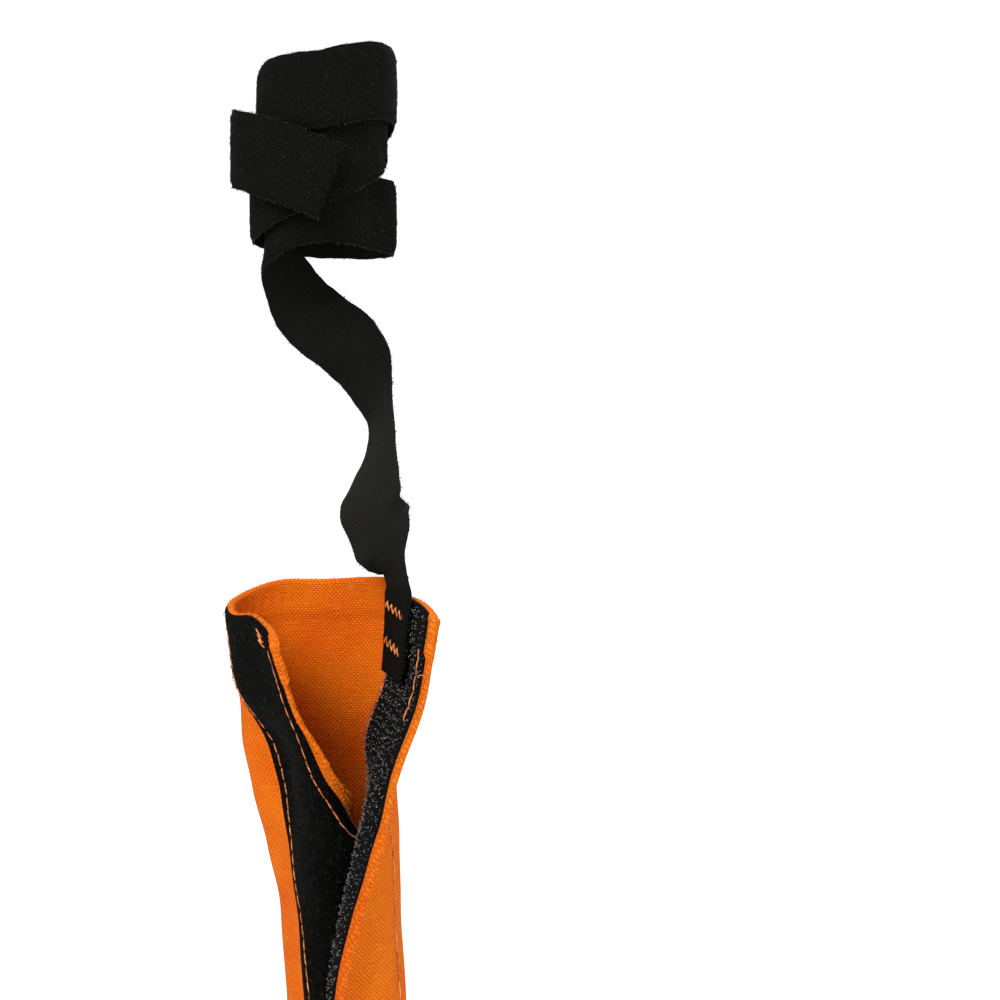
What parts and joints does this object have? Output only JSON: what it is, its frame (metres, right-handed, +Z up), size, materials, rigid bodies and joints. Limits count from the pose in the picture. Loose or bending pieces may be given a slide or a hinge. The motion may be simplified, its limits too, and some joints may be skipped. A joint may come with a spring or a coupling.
{
  "type": "sling protector",
  "caption": "Canvas sleeve that wraps a rope or sling, closes lengthwise with hook-and-loop tape and has a strap at each end, shown with one end peeled open.",
  "frame": {"origin": "the middle of the channel at the sleeve's lower end", "axes": "+Z runs up the sleeve to the peeled mouth, the overlap and its free edge face -Y, the fold that the overlap turns on is on +X"},
  "size_m": [0.0737, 0.0701, 0.6532],
  "materials": {
    "canvas": "coarse woven canvas, dull",
    "loop_tape": "soft looped pile, matte",
    "hook_tape": "stiff moulded hooks, slight sheen",
    "strap": "looped pile outside, woven back, matte",
    "thread": "twisted thread, satin"
  },
  "bodies": {
    "sleeve": {"back_panel": "canvas", "loop_tape": "loop_tape", "loop_seam_edge": "thread", "loop_seam_fold": "thread", "top_hem_seam_back": "thread", "bottom_hem_seam_back": "thread"},
    "flap": {"overlap_flap": "canvas", "hook_tape": "hook_tape", "hook_seam_edge": "thread", "hook_seam_fold": "thread", "top_hem_seam_flap": "thread", "bottom_hem_seam_flap": "thread", "top_strap_root": "strap", "top_strap_tack_upper": "thread", "top_strap_tack_lower": "thread", "bottom_strap_root": "strap", "bottom_strap_tack": "thread"},
    "top_strap": {"top_strap_winding": "strap"},
    "top_tail": {"top_strap_tail": "strap"},
    "bottom_strap": {"bottom_strap_loop": "strap"}
  },
  "joints": [
    {"name": "flap_open", "type": "hinge", "parent": "sleeve", "child": "flap", "pos_m": [0.02214, 0.00138, 0.15], "axis": [0, 0, 1], "range_deg": [0, 150]},
    {"name": "top_strap_swing", "type": "hinge", "parent": "flap", "child": "top_strap", "pos_m": [0.01834, -0.02467, 0.4964], "axis": [0.257, -0.9649, -0.055], "range_deg": [-40, 40]},
    {"name": "top_tail_peel", "type": "hinge", "parent": "top_strap", "child": "top_tail", "pos_m": [-0.02326, 0.01096, 0.618], "axis": [0, 0, -1], "range_deg": [0, 110]},
    {"name": "bottom_strap_swing", "type": "hinge", "parent": "flap", "child": "bottom_strap", "pos_m": [-0.01735, -0.01011, 0.00371], "axis": [-0.208, 0, 0.9781], "range_deg": [0, 80]}
  ]
}
